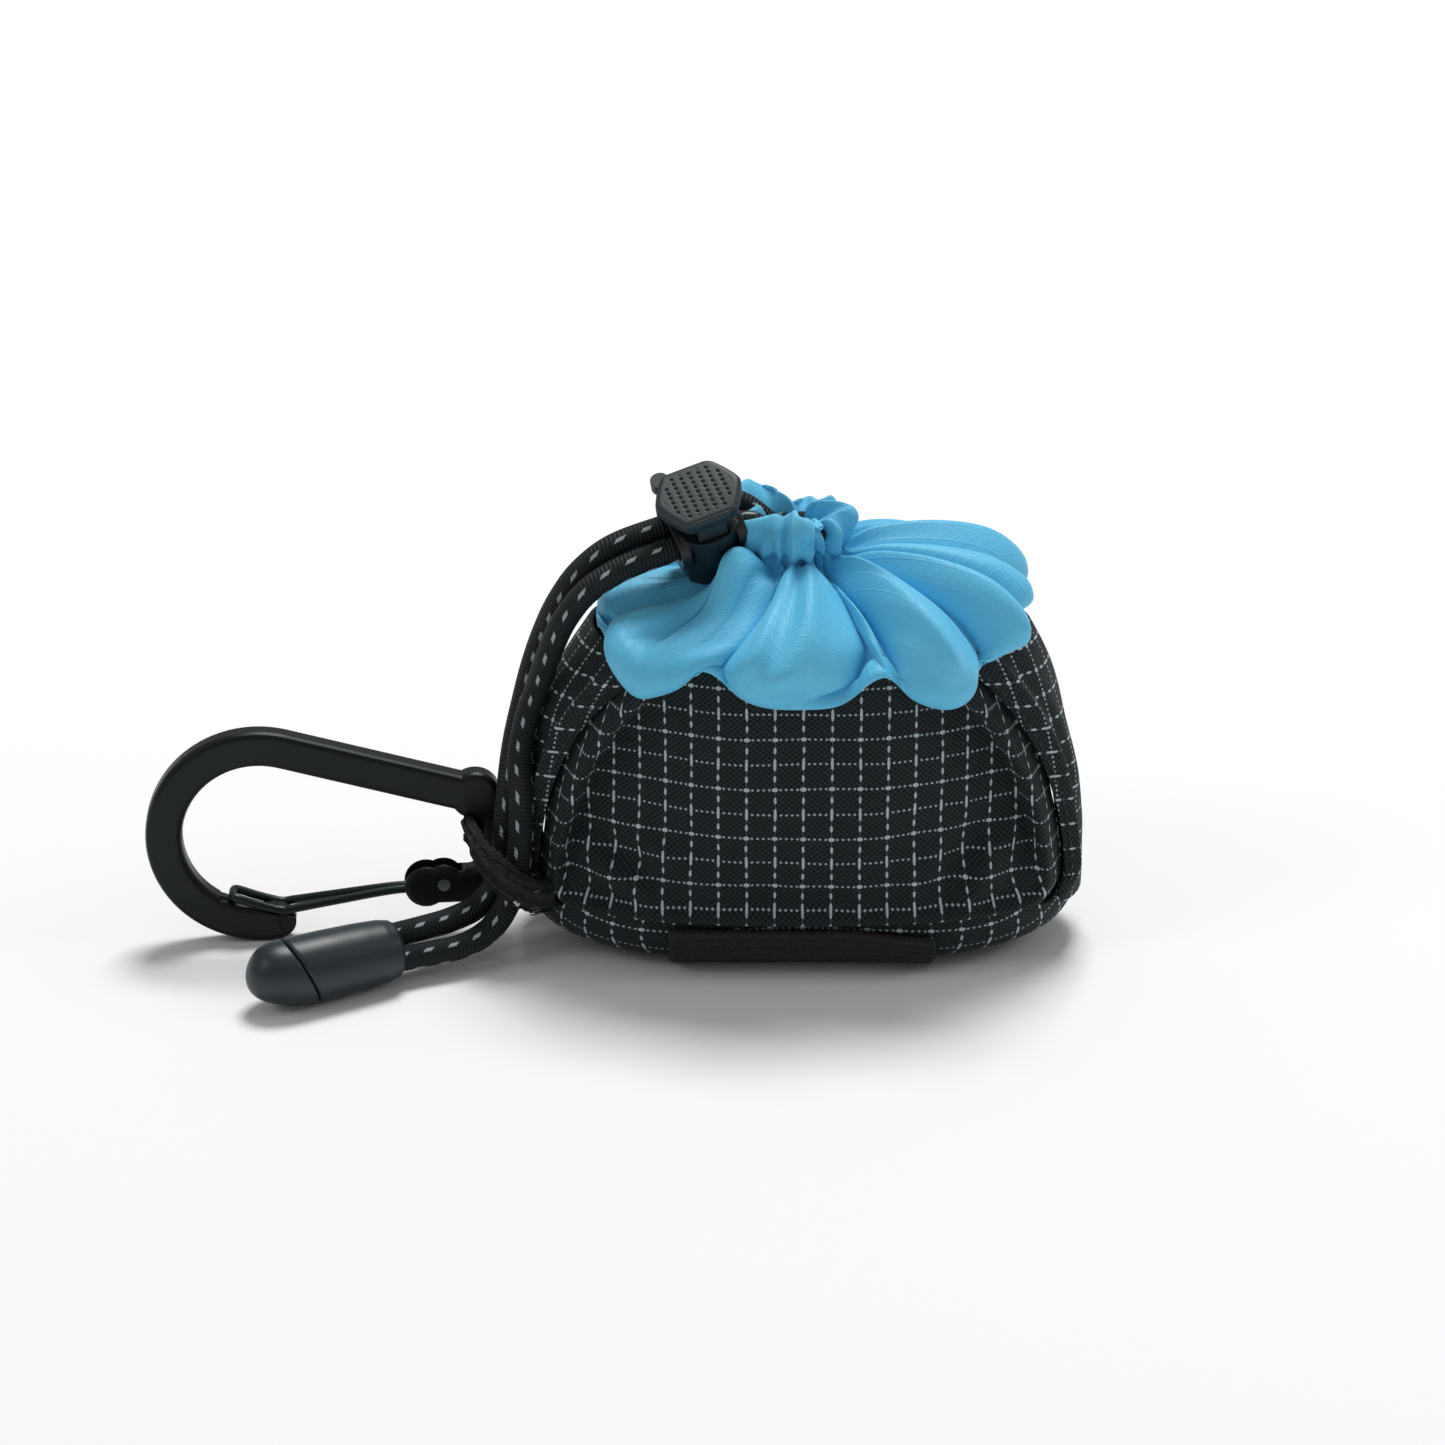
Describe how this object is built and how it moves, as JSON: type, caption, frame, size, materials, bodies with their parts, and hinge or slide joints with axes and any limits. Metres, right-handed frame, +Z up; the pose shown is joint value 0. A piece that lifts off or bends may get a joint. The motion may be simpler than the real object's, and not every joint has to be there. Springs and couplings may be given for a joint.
{
  "type": "drawstring pouch with carabiner",
  "caption": "Small half-round drawstring pouch in black gridstop fabric with a gathered blue collar, sprung cord lock, elastic cords, cord end and a wire-gate carabiner.",
  "frame": {"origin": "on the resting surface, under the middle of the pouch", "axes": "+Z up, the front panel faces -Y, the carabiner is on the -X side"},
  "size_m": [0.1493, 0.0593, 0.0797],
  "materials": {
    "gridstop": "coarse plain weave with a white grid",
    "binding_tape": "ribbed tape",
    "blue_ripstop": "fine ripstop, slightly shiny",
    "elastic_cord": "braided elastic with light reflective tracers",
    "tab_tape": "brushed tape",
    "light_thread": "bartack thread",
    "dark_thread": "bartack thread",
    "ribbed_webbing": "ribbed webbing",
    "lock_plastic": "fine matt moulding",
    "cord_end_plastic": "satin moulding",
    "spring_steel": "drawn wire",
    "anodised_black": "black anodised, satin",
    "gate_steel": "black oxide wire",
    "rivet_steel": "bare rivet head"
  },
  "bodies": {
    "pouch": {"front_panel": "gridstop", "back_panel": "gridstop", "gusset_left": "gridstop", "gusset_right": "gridstop", "base_panel": "gridstop", "front_seam_binding": "binding_tape", "back_seam_binding": "binding_tape", "collar": "blue_ripstop", "drawcord_loop": "elastic_cord", "cord_strand_back": "elastic_cord", "cord_strand_front": "elastic_cord", "corner_tab": "tab_tape", "tab_bartack": "light_thread", "base_strap": "ribbed_webbing", "strap_bartacks": "dark_thread", "cord_end_body": "cord_end_plastic", "cord_end_cap": "cord_end_plastic", "cord_knot": "elastic_cord"},
    "cord_lock": {"lock_body": "lock_plastic", "lock_spring": "spring_steel"},
    "lock_button": {"lock_button": "lock_plastic"},
    "carabiner": {"carabiner_body": "anodised_black", "gate_rivet": "rivet_steel"},
    "gate": {"gate_wire": "gate_steel"}
  },
  "joints": [
    {"name": "lock_slide", "type": "slide", "parent": "pouch", "child": "cord_lock", "axis": [-0.924, -0.265, -0.2756], "range_m": [0, 0.006]},
    {"name": "button_press", "type": "slide", "parent": "cord_lock", "child": "lock_button", "axis": [0.0916, 0.5464, -0.8325], "range_m": [0, 0.0024], "stiffness_N_per_m": 800, "springref_m": -0.002, "deforming": ["lock_spring"]},
    {"name": "carabiner_swing", "type": "hinge", "parent": "pouch", "child": "carabiner", "pos_m": [-0.0486, -0.001, 0.016], "axis": [0, 0, -1], "range_deg": [0, 75]},
    {"name": "gate_hinge", "type": "hinge", "parent": "carabiner", "child": "gate", "pos_m": [-0.05737, -0.00177, 0.0089], "axis": [-0.0872, 0.9962, 0], "range_deg": [0, 25], "stiffness_Nm_per_rad": 0.02, "springref_deg": -20.05}
  ]
}
